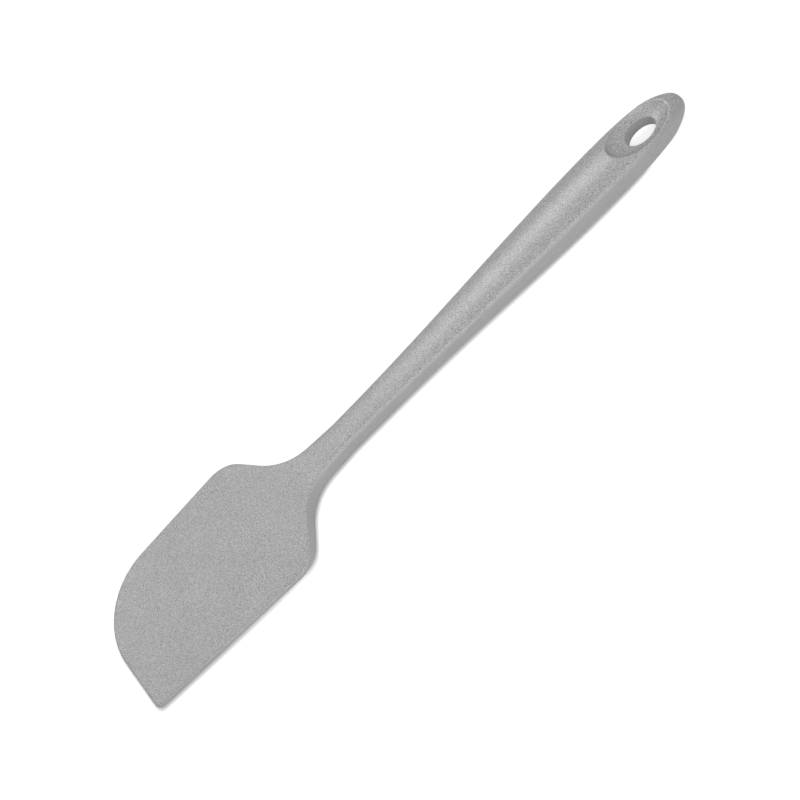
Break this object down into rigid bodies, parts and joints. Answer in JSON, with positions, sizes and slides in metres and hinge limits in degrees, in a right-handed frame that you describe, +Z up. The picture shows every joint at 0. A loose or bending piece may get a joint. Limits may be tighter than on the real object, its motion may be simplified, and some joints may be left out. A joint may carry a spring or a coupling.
{
  "type": "silicone spatula",
  "caption": "Kitchen spatula moulded in one piece of silicone over a stiff core: flat blade with one swept corner, slim neck, crowned handle and a dished end with an oval hanging hole.",
  "frame": {"origin": "middle of the bounding box in X and Y, at the height of the handle's lowest point", "axes": "+X from the blade to the hanging end, +Y towards the blade's swept tip corner, +Z up through the flat of the blade"},
  "size_m": [0.28, 0.0586, 0.0127],
  "materials": {
    "silicone": "matte with a fine satin grain",
    "core_nylon": "matte, hidden inside the moulding"
  },
  "bodies": {
    "root": {"silicone_body": "silicone", "handle_core": "core_nylon"}
  },
  "joints": []
}
